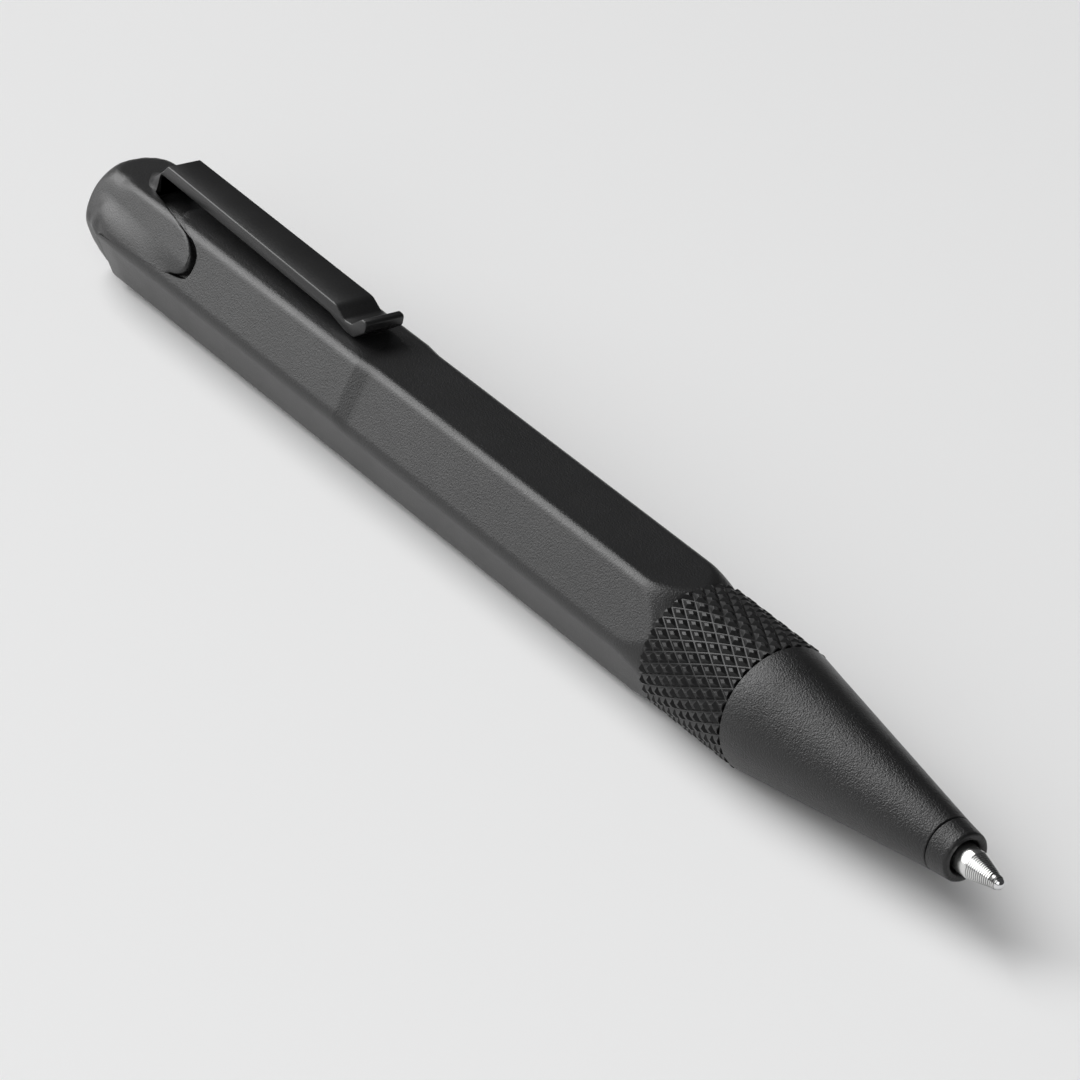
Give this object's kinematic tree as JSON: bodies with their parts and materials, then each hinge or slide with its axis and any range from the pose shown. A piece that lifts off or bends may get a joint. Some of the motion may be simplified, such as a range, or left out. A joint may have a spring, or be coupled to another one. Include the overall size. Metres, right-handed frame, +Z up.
{
  "type": "twist ballpoint pen",
  "caption": "Twist ballpoint pen with a six-sided black metal barrel, a spring clip on a domed cap, a knurled turning ring and a tapered cone with a silver writing tip.",
  "frame": {"origin": "centre of the pen's length, on the surface that it lies on", "axes": "+X along the pen towards the writing tip, +Z up through the clip, Y across"},
  "size_m": [0.1268, 0.0116, 0.0135],
  "materials": {
    "anodised_black": "bead-blasted and anodised matte black",
    "steel": "bright",
    "nickel_silver": "turned and bright",
    "brass": "machined",
    "seal": "matte",
    "nylon": "natural",
    "ink": "paste ink"
  },
  "bodies": {
    "handle": {"barrel": "anodised_black", "rear_cap": "anodised_black", "cap_screw": "steel", "clip_screw": "steel", "guide_sleeve": "brass", "pivot_bush": "brass", "friction_o_ring": "seal"},
    "clip_arm": {"clip": "anodised_black"},
    "front_section": {"knurled_ring": "anodised_black", "front_cone": "anodised_black", "nose_collar": "anodised_black", "drive_tube": "brass", "retaining_ring": "steel", "thrust_washer": "nylon", "return_spring": "steel"},
    "refill": {"plunger": "brass", "cam_pin": "steel", "refill_plug": "nylon", "refill_tube": "steel", "ink_column": "ink", "refill_neck": "steel", "refill_tip": "nickel_silver"},
    "ball": {"writing_ball": "steel"}
  },
  "joints": [
    {"name": "front_twist", "type": "hinge", "parent": "handle", "child": "front_section", "pos_m": [0.0295, 0, 0.00565], "axis": [1, 0, 0], "range_deg": [0, 180]},
    {"name": "refill_travel", "type": "slide", "parent": "handle", "child": "refill", "axis": [1, 0, 0], "range_m": [-0.0055, 0], "deforming": ["return_spring"]},
    {"name": "ball_roll", "type": "hinge", "parent": "refill", "child": "ball", "pos_m": [0.0629, 0, 0.00565], "axis": [0, 1, 0], "continuous": true},
    {"name": "clip_flex", "type": "hinge", "parent": "handle", "child": "clip_arm", "pos_m": [-0.05555, 0, 0.01075], "axis": [0, -1, 0], "range_deg": [0, 4], "stiffness_Nm_per_rad": 0.6}
  ],
  "couplings": [
    {"joint": "front_twist", "follows": "refill_travel", "rad_per_m": -571.19}
  ]
}
